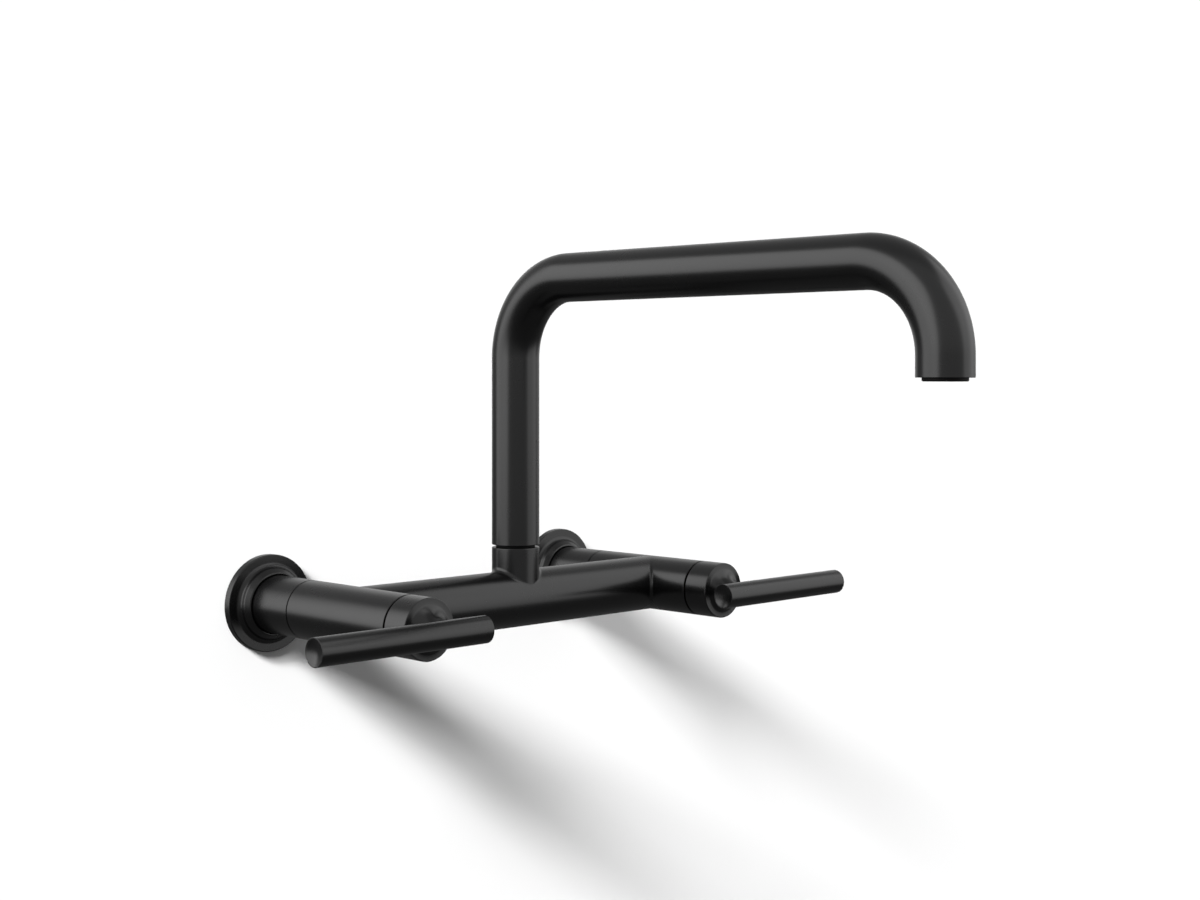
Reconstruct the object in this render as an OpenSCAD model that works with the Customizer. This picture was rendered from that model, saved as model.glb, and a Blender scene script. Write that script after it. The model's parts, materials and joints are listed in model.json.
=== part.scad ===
// Wall-mounted bridge faucet with two quarter-turn levers and a swivelling gooseneck spout.
// Millimetres. The wall is the plane y = 0, the faucet stands out towards -Y, and +Z is up.
// The origin is on the wall, midway between the two inlets.

/* [Arms and bridge] */
// Distance between the centres of the two inlets
centre_distance = 203.2; // [170:0.1:260]
// Distance from the wall to the axis of the bridge
wall_to_bridge = 78; // [72:0.5:110]
// Outside diameter of the sleeves, valve bodies and hubs
arm_d = 29.5; // [28.5:0.1:33]
// Length of each valve body behind the axis of the bridge
body_behind = 38.2; // [34:0.1:42]
// Length of each valve body in front of the axis of the bridge
body_in_front = 38.6; // [36:0.1:50]
// Step from the surface of the valve bodies down to the surface of the bridge
bridge_step = 0.05; // [0:0.05:1]
// Wall thickness of the bridge tube
bridge_wall = 2.4; // [1.5:0.1:3.5]
// Seam between sleeve and valve body
seam = 0.7; // [0.1:0.1:1]
// Width of the edge round at each end of a valve body
edge_round = 0.5; // [0.2:0.1:1]
// Diameter of the side port from a valve body into the bridge
port_d = 10; // [6:0.5:10]

/* [Escutcheons] */
// Outside diameter of the wall flange
escutcheon_d = 49.6; // [46:0.1:70]
// Thickness of the flange at its rim
escutcheon_t = 4.4; // [3.5:0.1:8]
// Radius of the cove between the flange and its collar
cove_r = 2.6; // [1.6:0.1:4]
// Height of the collar above the flange
collar_h = 5.7; // [4.8:0.1:8]
// Height of the collar's steep foot above the flange
foot_h = 3.1; // [1.5:0.1:4]
// Width by which the collar's steep foot widens towards the flange
foot_w = 0.9; // [0.3:0.1:1.5]
// Width of the slope between the collar's foot and its lip
shoulder_w = 2; // [1:0.1:3]
// Width of the collar's flat lip
lip_w = 0.5; // [0.3:0.1:1]
// Open gap between the collar's lip and the sleeve
collar_gap = 0.65; // [0.5:0.05:2.5]
// Thickness of the foam gasket
gasket_t = 1.5; // [0.8:0.1:2]
// Width of the flange's back face outside the gasket
gasket_inset = 2.4; // [1:0.1:4]
// Section diameter of the O-ring that grips the sleeve
escutcheon_ring_d = 1.8; // [1.2:0.1:2.2]

/* [Inlets] */
// Diameter of the inlet bore, the tapping size of a 1/2 inch pipe thread
inlet_bore_d = 18.3; // [15:0.1:19]
// Depth of the inlet bore
inlet_bore_l = 14; // [10:0.5:20]
// Length of the inlet adapter
adapter_l = 26; // [22:0.5:28]
// Width across flats of the hexagonal key hole through the adapter
adapter_key = 12; // [8:0.5:13]
// Wall thickness of the sleeve over its thread
sleeve_wall = 1.9; // [1.2:0.1:2.5]
// Length of the sleeve's inner shoulder
shoulder_l = 4; // [2:0.1:6]
// Gap between the wall and the sleeve
sleeve_gap = 1; // [0.5:0.1:2]
// Thickness of the inlet washer
washer_t = 2; // [1:0.1:3]
// Thickness of the tailpiece's flange
flange_t = 2.5; // [1.5:0.1:3]
// Outside diameter of the tailpiece
tail_d = 18; // [15:0.1:19]
// Bore of the tailpiece and of the valve body behind the cartridge
waterway_d = 12; // [8:0.1:12.5]
// Length of the tailpiece inside the valve body
tail_grip = 8; // [6:0.5:12]

/* [Cartridges] */
// Diameter of the cartridge's thread
thread_d = 20.6; // [19.6:0.1:21.5]
// Length of the cartridge's thread
thread_l = 15; // [10:0.5:18]
// Diameter of the cartridge below its thread
cartridge_d = 18.6; // [18:0.1:19]
// Distance of the cartridge seat behind the axis of the bridge
seat_behind = 5.5; // [5.2:0.1:8]
// Height of the seat rubber
seal_h = 2.6; // [2:0.1:4]
// Height of the seat rubber that stands out of the housing
seal_proud = 0.6; // [0.3:0.1:1]
// Diameter of the disc chamber
chamber_d = 16.5; // [15.5:0.1:16.6]
// Thickness of each ceramic disc
disc_t = 3.2; // [2.5:0.1:4]
// Height of the two side windows
window_h = 4; // [3:0.1:6]
// Width of the two side windows
window_w = 9; // [5:0.5:11]
// Thickness of the stem's driving flange
drive_t = 3; // [2:0.1:4]
// Diameter of the stem's shaft
stem_d = 10; // [9:0.1:11]
// Width across flats of the cartridge's hexagon
hex_af = 22; // [21:0.1:22.5]
// Thickness of the cartridge's hexagon
hex_t = 4.2; // [3:0.1:4.5]
// Section diameter of the small O-rings
small_ring_d = 1.3; // [1:0.1:1.5]
// Diameter over the splines of the stem
spline_d = 8; // [7:0.1:8.6]
// Number of splines
spline_count = 20; // [12:1:28]
// Depth of the splines
spline_depth = 0.4; // [0.2:0.05:0.5]
// Length of the splines
spline_l = 7.5; // [5:0.1:8]

/* [Handles] */
// Gap between a valve body and its hub
hub_gap = 1.1; // [0.3:0.1:2]
// Length of the hub
hub_l = 14.7; // [14.5:0.1:22]
// Radius of the hub's face inside its flat rim, where the flare begins
flare_base_r = 12; // [9:0.1:12.5]
// Radius of the flare's curve
flare_r = 10.6; // [9:0.1:11]
// Diameter of the neck between hub and lever
neck_d = 10; // [9.4:0.1:11]
// Distance from the hub's face to the axis of the lever
lever_standoff = 16.8; // [16:0.1:20]
// Diameter of the lever
lever_d = 12.9; // [11:0.1:13.5]
// Length of the lever outwards from the axis of its arm
lever_out = 75.9; // [50:0.1:120]
// Length of the lever inwards from the axis of its arm
lever_in = 19.3; // [12:0.1:40]
// Depth of the dish in each end of the lever
dish_depth = 1.2; // [0.5:0.1:2]
// Width of the rim round each dish
dish_rim = 0.45; // [0.3:0.05:1.5]
// Diameter of the stud that joins lever and hub
stud_d = 6; // [5:0.1:6.4]
// Length of the stud
stud_l = 20; // [17:0.1:21]
// Turn of each handle between the stops in its cartridge
handle_turn = 90; // [60:1:90]

/* [Spout] */
// Outside diameter of the spout and its socket
spout_d = 24.7; // [24:0.1:27]
// Wall thickness of the spout tube
spout_wall = 1.5; // [1:0.1:2]
// Height of the socket's top above the axis of the bridge
socket_h = 27; // [25:0.1:40]
// Gap between socket and spout, filled by the glide ring
socket_gap = 1.4; // [0.8:0.1:3]
// Depth of the glide ring's edge behind the spout's surface
glide_inset = 2.2; // [1:0.1:2.6]
// Height of the spout's level run above the axis of the bridge
spout_rise = 165.7; // [120:0.1:320]
// Distance from the axis of the bridge to the axis of the outlet
spout_reach = 265.8; // [160:0.1:320]
// Radius of the bends, at the middle of the tube
bend_r = 40.5; // [30:0.1:60]
// Straight length below the second bend
outlet_l = 9.3; // [8.5:0.1:60]
// Diameter of the shank that turns in the socket
shank_d = 17.2; // [16:0.1:17.6]
// Depth of the shank below the socket's top
shank_depth = 21; // [18:0.1:23]
// Length of the shank inside the spout tube
shank_grip = 12; // [8:0.1:16]
// Bore of the shank
shank_bore = 11; // [8:0.1:11.5]
// Section diameter of the shank's O-rings
shank_ring_d = 2; // [1.6:0.1:2.2]
// Swivel of the spout to each side
swivel = 90; // [45:1:120]
// Diameter of the two kinds of set screw
grub_d = 4; // [3:0.1:4.2]

/* [Aerator] */
// Diameter of the aerator's nose
nose_d = 19.4; // [18.6:0.1:20.5]
// Length of the nose below the spout
nose_l = 1.6; // [1:0.1:5]
// Length of the aerator inside the spout
aerator_grip = 8; // [8:0.1:8.3]
// Wall of the aerator's housing at its nose
nose_wall = 1.2; // [0.8:0.1:1.6]
// Thickness of the perforated screen
screen_t = 1; // [0.6:0.1:1.5]
// Diameter of the screen's holes
mesh_d = 1.4; // [1:0.1:1.5]
// Spacing of the screen's holes
mesh_pitch = 1.9; // [1.8:0.1:3]
// Thickness of the flow regulator
regulator_t = 3; // [2:0.1:3.2]

/* [Hidden] */
SIDES = ["left", "right"];
ARM_PIECES = [
  "escutcheon", "escutcheon_gasket", "escutcheon_oring", "inlet_sleeve", "inlet_adapter",
  "inlet_washer", "tailpiece", "valve_body", "cartridge_housing", "cartridge_seal",
  "cartridge_oring", "fixed_disc", "moving_disc", "cartridge_stem", "stem_orings", "stem_clip",
  "handle_hub", "hub_set_screw", "lever", "lever_stud"
];
MIDDLE_PIECES = [
  "bridge_tube", "spout_socket", "spout_set_screw", "glide_ring", "spout_shank", "shank_orings",
  "spout_tube", "aerator_housing", "aerator_washer", "flow_regulator", "aerator_screen"
];
$fn = 96;

// Clearance between pieces that turn on each other
running = 0.05;
// Clearance between pieces that are screwed, brazed or pushed together
seated = 0.02;
// Clearance between pieces that slide over each other when the faucet is fitted
slip = 0.25;
// Overshoot of a cut past the face that it opens
past = 1;
// Room past the end of a blind hole or recess
relief = 0.5;
// Play of a lug or screw tip in its groove
play = 0.2;
// Metal between an O-ring's groove and the face beside it
ring_shelf = 0.8;

arm_r = arm_d / 2;
bridge_r = arm_r - bridge_step;
bridge_bore_r = bridge_r - bridge_wall;

// Places along an arm, measured from the wall
body_start = wall_to_bridge - body_behind;
body_end = wall_to_bridge + body_in_front;
sleeve_end = body_start - seam;
hub_start = body_end + hub_gap;
hub_face = hub_start + hub_l;
lever_axis = hub_face + lever_standoff;
washer_start = adapter_l;
flange_start = washer_start + washer_t;
shoulder_start = flange_start + flange_t + running;
tail_end = body_start + tail_grip;
seat = wall_to_bridge - seat_behind;

// Seats of the escutcheon's gasket and O-ring
gasket_land = 2.9;
gasket_in_r = arm_r + slip + gasket_land;
gasket_out_r = escutcheon_d / 2 - gasket_inset;
ring_seat = gasket_t + ring_shelf;
ring_seat_end = ring_seat + escutcheon_ring_d + 2 * running;

// Radii inside an arm
sleeve_bore_r = arm_r - sleeve_wall;
adapter_r = sleeve_bore_r - seated;
washer_inset = 0.4;
tail_r = tail_d / 2;
waterway_r = waterway_d / 2;
thread_r = thread_d / 2;
cavity_r = thread_r + seated;

// Places in a cartridge, measured from the wall
housing_start = seat + seal_proud;
fixed_disc_start = seat + seal_h;
moving_disc_start = fixed_disc_start + disc_t + running;
drive_start = moving_disc_start + disc_t;
chamber_end = drive_start + drive_t + running;
thread_start = body_end - thread_l;
housing_ring = body_end - ring_shelf - small_ring_d;
hex_end = body_end + hex_t;
clip_start = hex_end + running;
clip_t = 1;
recess_end = clip_start + clip_t + relief;
spline_end = recess_end + spline_l;
broach_end = spline_end + relief;
stem_ring_pitch = 4;

// Radii in a cartridge
chamber_r = chamber_d / 2;
disc_r = chamber_r - seated;
stem_r = stem_d / 2;
hex_r = hex_af / 2 / cos(30);
recess_r = hex_r + relief;
clip_depth = 1;
clip_w = 2.4;
clip_opening = 70;
tang_w = 3;
tang_h = disc_t / 2;
tang_inset = 1.5;
disc_hub_r = 2.4;
disc_land = 1.2;
sector = 80;

// Stop lug on the stem's driving flange, and half of the angle that it takes up with its play
lug_h = 1.2;
lug_w = 1.4;
lug_land = 0.6;
lug_r = stem_r + lug_land;
lug_angle = 36;
lug_half = lug_angle / 2 + 2;

// Lever and neck
lever_r = lever_d / 2;
neck_r = neck_d / 2;
stud_r = stud_d / 2;
stud_start = broach_end + seated;
lever_edge = 0.2;
grub_r = grub_d / 2;
grub_key = grub_d / 2;
grub_sunk = 0.4;
hub_screw_l = 7;

// Spout
spout_r = spout_d / 2;
spout_bore_r = spout_r - spout_wall;
spout_start = socket_h + socket_gap;
outlet = spout_rise - bend_r - outlet_l;
shank_r = shank_d / 2;
socket_bore_r = shank_r + running;
shank_end = socket_h - shank_depth;
spigot_wall = 2.1;
spigot_r = socket_bore_r + spigot_wall;
spigot_floor = 2;
spigot_land = 1.4;
spigot_end = shank_end - spigot_floor;
groove_depth = 1.6;
groove_drop = 6;
groove_z = socket_h - groove_drop;
grub_tip_r = 1.3;
groove_w = 2 * (grub_tip_r + play);

// Side of the spout's set screw, counted from +X: towards the wall
screw_side = 90;
ring_depth = shank_ring_d - seated;
shank_ring_edge = 2;
shank_ring_pitch = 5;

// Aerator
nose_r = nose_d / 2;
aerator_r = spout_bore_r - seated;
aerator_top = outlet + aerator_grip;
aerator_bore_r = nose_r - nose_wall;
aerator_ledge = 0.6;
insert_r = aerator_bore_r + aerator_ledge - seated;
nose_round = 0.4;
aerator_washer_t = 1.2;
jet_count = 12;
jet_d = 1.4;
jet_inset = 3.5;
jet_circle_r = aerator_bore_r - jet_inset;
regulator_rim = 2;
regulator_dish = 0.4 * regulator_t;

module satin_black() { color("#26272a") children(); }
module brass() { color("#b8923e") children(); }
module steel() { color("#9aa0a6") children(); }
module rubber() { color("#1d1d1f") children(); }
module ceramic() { color("#e9e6df") children(); }
module plastic() { color("#3a3d42") children(); }

// Stands the children, drawn along +Z from the wall, on the axis of one arm
module on_arm(side) {
  x = side == "left" ? -centre_distance / 2 : centre_distance / 2;
  translate([x, 0, 0]) rotate([90, 0, 0]) children();
}

// Ring or solid of revolution between two radii and two heights
module tube(r_in, r_out, z0, z1) {
  rotate_extrude() translate([r_in, z0]) square([r_out - r_in, z1 - z0]);
}

// Same as tube, with the outer edges rounded by e
module round_tube(r_in, r_out, z0, z1, e) {
  rotate_extrude() intersection() {
    translate([r_in, z0]) square([r_out - r_in, z1 - z0]);
    union() {
      translate([0, z0]) square([r_out - e, z1 - z0]);
      translate([0, z0 + e]) square([r_out, z1 - z0 - 2 * e]);
      for (z = [z0 + e, z1 - e]) translate([r_out - e, z]) circle(e);
    }
  }
}

// O-ring of section diameter d, whose middle is at radius r and height z
module ring(r, z, d) {
  rotate_extrude() translate([r, z]) circle(d / 2);
}

// Triangular wedge from the axis to x = r
module wedge(angle, r, z0, z1) {
  half_w = r * tan(angle / 2);
  translate([0, 0, z0]) linear_extrude(z1 - z0) polygon([[0, 0], [r, -half_w], [r, half_w]]);
}

// Part of a ring, from one angle through a turn
module ring_sector(start, turn, r_in, r_out, z0, z1) {
  rotate([0, 0, start]) rotate_extrude(angle = turn) translate([r_in, z0]) square([r_out - r_in, z1 - z0]);
}

// Splined shaft of radius r over the splines
module splines(r, z0, z1) {
  step = 180 / spline_count;
  points = [for (i = [0 : 2 * spline_count - 1])
    (r - (i % 2) * spline_depth) * [cos(i * step), sin(i * step)]];
  translate([0, 0, z0]) linear_extrude(z1 - z0) polygon(points);
}

// Hexagon of width af across its flats
module hexagon(af, z0, z1) {
  translate([0, 0, z0]) cylinder(h = z1 - z0, r = af / 2 / cos(30), $fn = 6);
}

// Set screw along +Z with a hexagonal socket at its far end
module grub_screw(r, length, key) {
  difference() {
    tube(0, r, 0, length);
    hexagon(key, length - key, length + past);
  }
}

// Wall flange with its cove, its open collar and the seats of gasket and O-ring
module escutcheon() {
  bore_r = arm_r + slip;
  lip_r = arm_r + collar_gap;
  crown_r = lip_r + lip_w;
  shoulder_r = crown_r + shoulder_w;
  foot_r = shoulder_r + foot_w;
  foot_end = escutcheon_t + foot_h;
  collar_end = escutcheon_t + collar_h;
  foot_side = sqrt(foot_w * foot_w + foot_h * foot_h);
  cove_middle_r = foot_r + cove_r * (foot_side - foot_w) / foot_h;
  cove_top = escutcheon_t + cove_r * (1 - foot_w / foot_side);
  satin_black() difference() {
    union() {
      round_tube(bore_r, escutcheon_d / 2, 0, escutcheon_t, edge_round);
      rotate_extrude() difference() {
        translate([bore_r, 0]) square([cove_middle_r - bore_r, cove_top]);
        translate([cove_middle_r, escutcheon_t + cove_r]) circle(cove_r);
      }
      rotate_extrude() polygon([
        [bore_r, 0], [foot_r, 0], [foot_r, escutcheon_t], [shoulder_r, foot_end],
        [crown_r, collar_end], [bore_r, collar_end]
      ]);
    }
    tube(0, lip_r, ring_seat_end + ring_shelf, collar_end + past);
    tube(gasket_in_r - seated, gasket_out_r + seated, -past, gasket_t + seated);
    tube(arm_r, arm_r + escutcheon_ring_d + 2 * seated, ring_seat, ring_seat_end);
  }
}

module escutcheon_gasket() {
  rubber() tube(gasket_in_r, gasket_out_r, 0, gasket_t);
}

module escutcheon_oring() {
  middle = ring_seat + running + escutcheon_ring_d / 2;
  rubber() ring(arm_r + seated + escutcheon_ring_d / 2, middle, escutcheon_ring_d);
}

// Long round coupling nut, which hooks the tailpiece's flange
module inlet_sleeve() {
  satin_black() difference() {
    round_tube(0, arm_r, sleeve_gap, sleeve_end, edge_round);
    tube(0, sleeve_bore_r, sleeve_gap - past, shoulder_start);
    tube(0, tail_r + running, 0, sleeve_end + past);
    tube(0, sleeve_bore_r, shoulder_start + shoulder_l, sleeve_end + past);
  }
}

// Screws onto the supply nipple and carries the sleeve's thread
module inlet_adapter() {
  brass() difference() {
    tube(0, adapter_r, 0, adapter_l);
    tube(0, inlet_bore_d / 2, -past, inlet_bore_l);
    hexagon(adapter_key, 0, adapter_l + past);
  }
}

module inlet_washer() {
  rubber() tube(waterway_r + washer_inset, adapter_r - washer_inset, washer_start, flange_start);
}

module tailpiece() {
  brass() difference() {
    union() {
      tube(0, adapter_r, flange_start, flange_start + flange_t);
      tube(0, tail_r, flange_start, tail_end);
    }
    tube(0, waterway_r, flange_start - past, tail_end + past);
  }
}

// Middle length of an arm, with the cartridge's cavity in front and the side port to the bridge
module valve_body(side) {
  inwards = side == "left" ? 0 : 180;
  satin_black() difference() {
    round_tube(0, arm_r, body_start, body_end, edge_round);
    tube(0, tail_r + seated, body_start - past, tail_end + seated);
    tube(0, waterway_r, body_start, seat + past);
    tube(0, cavity_r, seat, body_end + past);
    translate([0, 0, wall_to_bridge]) rotate([0, 90, inwards]) cylinder(h = arm_r + past, d = port_d);
  }
}

// Threaded brass body of the cartridge, with its disc chamber, stop groove, side windows and hexagon
module cartridge_housing(side) {
  turn_start = side == "left" ? 0 : -handle_turn;
  brass() difference() {
    union() {
      tube(0, cartridge_d / 2, housing_start, thread_start + seated);
      tube(0, thread_r, thread_start, body_end);
      hexagon(hex_af, body_end, hex_end);
    }
    tube(0, chamber_r, housing_start - past, chamber_end);
    tube(0, stem_r + running, chamber_end - past, hex_end + past);
    ring_sector(turn_start - lug_half, handle_turn + 2 * lug_half, lug_r - play, lug_r + lug_w + play,
      chamber_end - past, chamber_end + lug_h + play);
    tube(thread_r - small_ring_d + seated, thread_r + past, housing_ring,
      housing_ring + small_ring_d + 2 * seated);
    translate([0, 0, moving_disc_start + window_h / 2])
      cube([window_w, 2 * cartridge_d, window_h], center = true);
  }
}

module cartridge_oring() {
  rubber() ring(thread_r - small_ring_d / 2 + seated, housing_ring + small_ring_d / 2 + seated,
    small_ring_d - 2 * seated);
}

module cartridge_seal() {
  rubber() tube(waterway_r, disc_r - running, seat, fixed_disc_start);
}

// Disc with two sector openings, along its local X axis
module disc_sectors(z0, z1) {
  for (turn = [0, 180]) rotate([0, 0, turn]) intersection() {
    wedge(sector, chamber_r, z0, z1);
    tube(disc_hub_r, disc_r - disc_land, z0, z1);
  }
}

module fixed_disc() {
  ceramic() difference() {
    tube(0, disc_r, fixed_disc_start, fixed_disc_start + disc_t);
    rotate([0, 0, 90]) disc_sectors(fixed_disc_start - past, fixed_disc_start + disc_t + past);
  }
}

// Turning disc with two side notches and the slot for the stem's tang
module moving_disc() {
  top = moving_disc_start + disc_t - running;
  ceramic() difference() {
    tube(0, disc_r - running, moving_disc_start, top);
    for (turn = [0, 180]) rotate([0, 0, turn]) difference() {
      wedge(sector, 2 * chamber_r, moving_disc_start - past, top + past);
      tube(0, disc_hub_r + disc_land, moving_disc_start - 2 * past, top + 2 * past);
    }
    translate([0, 0, top - tang_h / 2 + past / 2])
      cube([tang_w, 2 * chamber_r, tang_h + past], center = true);
  }
}

// Splined stem with its driving flange, tang, stop lug and three grooves
module cartridge_stem() {
  tang_top = drive_start + past;
  tang_bottom = drive_start - tang_h;
  brass() difference() {
    union() {
      tube(0, disc_r - 2 * running, drive_start, drive_start + drive_t);
      tube(0, stem_r, drive_start, recess_end - running);
      splines(spline_d / 2, drive_start, spline_end);
      translate([0, 0, (tang_bottom + tang_top) / 2])
        cube([tang_w - 2 * running, 2 * (disc_r - tang_inset), tang_top - tang_bottom], center = true);
      ring_sector(-lug_angle / 2, lug_angle, lug_r, lug_r + lug_w, drive_start,
        drive_start + drive_t + lug_h);
    }
    for (z = stem_rings()) tube(stem_groove_r(), stem_r + past, z, z + small_ring_d + 2 * seated);
    tube(stem_r - clip_depth, stem_r + past, clip_start, clip_start + clip_t + seated);
  }
}

function stem_groove_r() = stem_r - small_ring_d + seated;
function stem_rings() = [for (i = [1, 2]) chamber_end + stem_ring_pitch * i];

module stem_orings() {
  rubber() for (z = stem_rings())
    ring(stem_groove_r() + small_ring_d / 2, z + seated + small_ring_d / 2, small_ring_d - seated);
}

// Open clip in the stem's front groove
module stem_clip() {
  steel() difference() {
    tube(stem_r - clip_depth + seated, stem_r - clip_depth + clip_w, clip_start + seated / 2,
      clip_start + clip_t);
    wedge(clip_opening, 2 * stem_r, clip_start - past, clip_start + clip_t + past);
  }
}

// Round hub with a flared neck, whose end is hollowed to seat the lever
module handle_hub() {
  slope_start = asin((neck_r + flare_r - flare_base_r) / flare_r);
  flare_middle = hub_face + flare_r * cos(slope_start);
  satin_black() difference() {
    union() {
      round_tube(0, arm_r, hub_start, hub_face, edge_round);
      rotate_extrude() difference() {
        translate([0, hub_face - past]) square([flare_base_r, flare_middle - hub_face + past]);
        translate([neck_r + flare_r, flare_middle]) circle(flare_r);
      }
      tube(0, neck_r, hub_face, lever_axis);
    }
    translate([0, 0, lever_axis]) rotate([0, 90, 0])
      cylinder(h = 4 * arm_r, r = lever_r + seated, center = true);
    tube(0, recess_r, hub_start - past, recess_end);
    splines(spline_d / 2 + running, recess_end - past, broach_end);
    tube(0, stud_r + seated, broach_end - past, lever_axis);
    translate([0, 0, grub_place()]) rotate([90, 0, 0]) cylinder(h = arm_r + past, r = grub_r + seated);
  }
}

function grub_place() = recess_end + spline_l / 2;

// Locks the hub on the stem from below
module hub_set_screw() {
  tip = spline_d / 2 + running;
  steel() translate([0, -tip, grub_place()]) rotate([90, 0, 0]) grub_screw(grub_r, hub_screw_l, grub_key);
}

// Round rod across the neck, with a shallow dish in each end
module lever(side) {
  outwards = side == "left" ? 180 : 0;
  cap_r = lever_r - dish_rim;
  ball_r = (cap_r * cap_r + dish_depth * dish_depth) / (2 * dish_depth);
  rod_l = lever_in + lever_out;
  satin_black() difference() {
    translate([0, 0, lever_axis]) rotate([0, 0, outwards]) rotate([0, 90, 0])
      translate([0, 0, -lever_in]) difference() {
        round_tube(0, lever_r, 0, rod_l, lever_edge);
        translate([0, 0, dish_depth - ball_r]) sphere(ball_r);
        translate([0, 0, rod_l - dish_depth + ball_r]) sphere(ball_r);
      }
    tube(0, stud_r + seated, lever_axis - lever_r - past, stud_start + stud_l + relief);
  }
}

// Headless screw from the hub's spline hole through the neck into the lever
module lever_stud() {
  steel() translate([0, 0, stud_start]) difference() {
    tube(0, stud_r, 0, stud_l);
    hexagon(stud_r, -past, stud_r);
  }
}

// Tube whose ends are coped to the round valve bodies, with a top hole for the socket
module bridge_tube() {
  satin_black() translate([0, -wall_to_bridge, 0]) difference() {
    rotate([0, 90, 0]) cylinder(h = centre_distance, r = bridge_r, center = true);
    rotate([0, 90, 0]) cylinder(h = centre_distance + past, r = bridge_bore_r, center = true);
    for (x = [-1, 1]) translate([x * centre_distance / 2, 0, 0]) rotate([90, 0, 0])
      cylinder(h = 4 * arm_r, r = arm_r, center = true);
    cylinder(h = bridge_r + past, r = spigot_r + seated);
  }
}

// Collar on the bridge, with a spigot through the bridge's wall and the bore for the shank
module spout_socket() {
  satin_black() translate([0, -wall_to_bridge, 0]) difference() {
    union() {
      difference() {
        round_tube(0, spout_r, 0, socket_h, edge_round);
        rotate([0, 90, 0]) cylinder(h = 4 * spout_r, r = bridge_r, center = true);
      }
      tube(0, spigot_r, spigot_end, socket_h - past);
    }
    tube(0, shank_r - spigot_land, spigot_end - past, socket_h);
    tube(0, socket_bore_r, shank_end - relief, socket_h + past);
    translate([0, 0, groove_z]) rotate([0, 90, screw_side])
      cylinder(h = spout_r + past, r = grub_r + seated);
  }
}

// Screw from behind, whose tip rides in the shank's groove
module spout_set_screw() {
  tip_start = shank_r - groove_depth + play;
  body_at = socket_bore_r + running;
  steel() translate([0, -wall_to_bridge, groove_z]) rotate([0, 90, screw_side]) {
    tube(0, grub_tip_r, tip_start, body_at + past);
    translate([0, 0, body_at]) grub_screw(grub_r, spout_r - body_at - grub_sunk, grub_key);
  }
}

module glide_ring() {
  plastic() translate([0, -wall_to_bridge, 0])
    tube(socket_bore_r, spout_r - glide_inset, socket_h + seated, spout_start - running);
}

// Turned end of the spout: brazed into the tube, with two ring grooves and the groove of the swivel
module spout_shank() {
  half_width = asin((grub_tip_r + play) / (shank_r - groove_depth));
  span = 2 * (swivel + half_width);
  brass() translate([0, -wall_to_bridge, 0]) difference() {
    union() {
      tube(0, shank_r, shank_end, spout_start + past);
      tube(0, spout_bore_r - seated, spout_start, spout_start + shank_grip);
    }
    tube(0, shank_bore / 2, shank_end - past, spout_start + shank_grip + past);
    for (z = shank_rings()) tube(shank_r - ring_depth, shank_r + past, z, z + shank_ring_d + 2 * seated);
    ring_sector(screw_side - span / 2, span, shank_r - groove_depth, shank_r + past,
      groove_z - groove_w / 2, groove_z + groove_w / 2);
  }
}

function shank_rings() = [for (i = [0, 1]) shank_end + shank_ring_edge + shank_ring_pitch * i];

module shank_orings() {
  rubber() translate([0, -wall_to_bridge, 0]) for (z = shank_rings())
    ring(shank_r - ring_depth + shank_ring_d / 2, z + seated + shank_ring_d / 2, shank_ring_d - seated);
}

// One solid along the spout's route: up, over and down
module spout_route(r, extra) {
  riser_top = spout_rise - bend_r;
  level_l = spout_reach - 2 * bend_r;
  translate([0, 0, spout_start - extra]) cylinder(h = riser_top - spout_start + extra, r = r);
  translate([0, -bend_r, riser_top]) rotate([90, 0, -90]) rotate([0, 0, 90])
    rotate_extrude(angle = 90) translate([bend_r, 0]) circle(r);
  translate([0, -bend_r, spout_rise]) rotate([90, 0, 0]) cylinder(h = level_l, r = r);
  translate([0, -bend_r - level_l, riser_top]) rotate([90, 0, -90])
    rotate_extrude(angle = 90) translate([bend_r, 0]) circle(r);
  translate([0, -spout_reach, outlet - extra]) cylinder(h = outlet_l + extra, r = r);
}

module spout_tube() {
  satin_black() translate([0, -wall_to_bridge, 0]) difference() {
    spout_route(spout_r, 0);
    spout_route(spout_bore_r, past);
  }
}

// Places the children on the axis of the outlet
module on_outlet() {
  translate([0, -wall_to_bridge - spout_reach, 0]) children();
}

module aerator_housing() {
  plastic() on_outlet() difference() {
    union() {
      round_tube(0, nose_r, outlet - nose_l, outlet + past, nose_round);
      tube(0, aerator_r, outlet, aerator_top);
    }
    tube(0, aerator_bore_r, outlet - nose_l - past, aerator_top + past);
    tube(0, insert_r + seated, outlet, aerator_top + past);
  }
}

// Perforated disc that the water leaves through
module aerator_screen() {
  rows = floor((aerator_bore_r - mesh_d) / mesh_pitch);
  steel() on_outlet() translate([0, 0, outlet + seated]) difference() {
    tube(0, insert_r, 0, screen_t);
    for (i = [-rows : rows], j = [-rows : rows])
      if (abs(i + j) <= rows)
        translate([mesh_pitch * (i + j / 2), mesh_pitch * j * sin(60), -past])
          cylinder(h = screen_t + 2 * past, d = mesh_d, $fn = 16);
  }
}

// Disc with a ring of small jets
module flow_regulator() {
  start = outlet + 2 * seated + screen_t;
  plastic() on_outlet() difference() {
    tube(0, insert_r, start, start + regulator_t);
    tube(0, aerator_bore_r - regulator_rim, start - past, start + regulator_dish);
    for (i = [0 : jet_count - 1]) rotate([0, 0, i * 360 / jet_count])
      translate([jet_circle_r, 0, start]) cylinder(h = 2 * regulator_t, d = jet_d, $fn = 16);
  }
}

module aerator_washer() {
  rubber() on_outlet()
    tube(aerator_bore_r - aerator_ledge, aerator_r - running, aerator_top, aerator_top + aerator_washer_t);
}

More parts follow.
